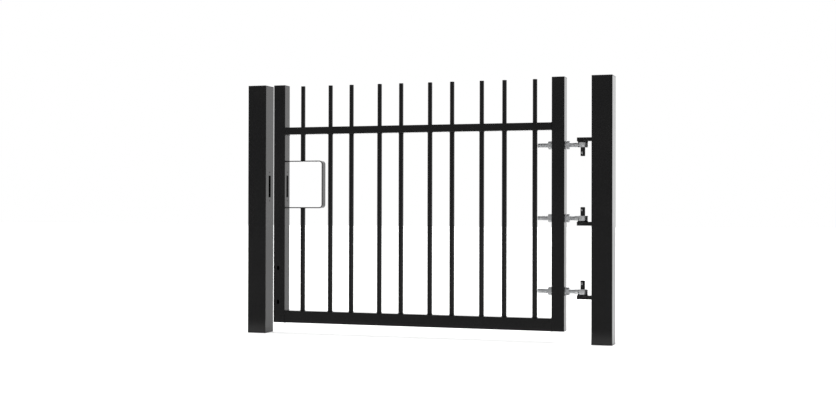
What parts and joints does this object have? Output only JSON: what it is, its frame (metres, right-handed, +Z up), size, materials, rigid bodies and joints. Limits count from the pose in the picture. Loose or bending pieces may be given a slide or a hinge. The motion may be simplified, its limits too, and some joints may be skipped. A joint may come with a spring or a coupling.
{
  "type": "garden gate",
  "caption": "Garden gate: framed leaf of round bars with a lock frame, swinging on eye-bolt hinges between two square posts.",
  "frame": {"origin": "on the ground under the middle of the gate, midway across the two posts and midway through their depth", "axes": "+X from the latch post to the hinge post, +Y from the front to the back, +Z up"},
  "size_m": [1.517, 0.08, 1.025],
  "materials": {
    "post_paint": "gloss powder coat",
    "leaf_paint": "gloss powder coat",
    "bar_paint": "gloss powder coat",
    "cap_plastic": "satin black",
    "pin_black": "blacked steel",
    "nylon_black": "satin black",
    "zinc_eye": "dull zinc plate",
    "zinc_nut": "zinc plate",
    "zinc_washer": "zinc plate",
    "zinc_split": "zinc plate"
  },
  "bodies": {
    "posts": {"latch_post": "post_paint", "hinge_post": "post_paint", "latch_post_cap": "cap_plastic", "hinge_post_cap": "cap_plastic", "hinge_lug_low": "post_paint", "hinge_lug_mid": "post_paint", "hinge_lug_high": "post_paint", "hinge_pin_low": "pin_black", "hinge_pin_mid": "pin_black", "hinge_pin_high": "pin_black", "hinge_bush_low": "nylon_black", "hinge_bush_mid": "nylon_black", "hinge_bush_high": "nylon_black", "split_pins": "zinc_split"},
    "leaf": {"latch_stile": "leaf_paint", "hinge_stile": "leaf_paint", "bottom_rail": "leaf_paint", "top_rail": "leaf_paint", "lock_frame": "leaf_paint", "latch_stile_cap": "cap_plastic", "hinge_stile_cap": "cap_plastic", "bar_01_lower": "bar_paint", "bar_01_upper": "bar_paint", "bar_02": "bar_paint", "bar_03": "bar_paint", "bar_04": "bar_paint", "bar_05": "bar_paint", "bar_06": "bar_paint", "bar_07": "bar_paint", "bar_08": "bar_paint", "bar_09": "bar_paint", "bar_10": "bar_paint", "rod_01": "bar_paint", "rod_02": "bar_paint", "rod_03": "bar_paint", "rod_04": "bar_paint", "rod_05": "bar_paint", "rod_06": "bar_paint", "rod_07": "bar_paint", "rod_08": "bar_paint", "rod_09": "bar_paint", "rod_10": "bar_paint", "eye_bolt_low": "zinc_eye", "eye_bolt_mid": "zinc_eye", "eye_bolt_high": "zinc_eye", "inner_nuts": "zinc_nut", "outer_nuts": "zinc_nut", "bolt_washers": "zinc_washer"}
  },
  "joints": [
    {"name": "leaf_swing", "type": "hinge", "parent": "posts", "child": "leaf", "pos_m": [0.6385, 0, 0.4805], "axis": [0, 0, 1], "range_deg": [-110, 110]}
  ]
}
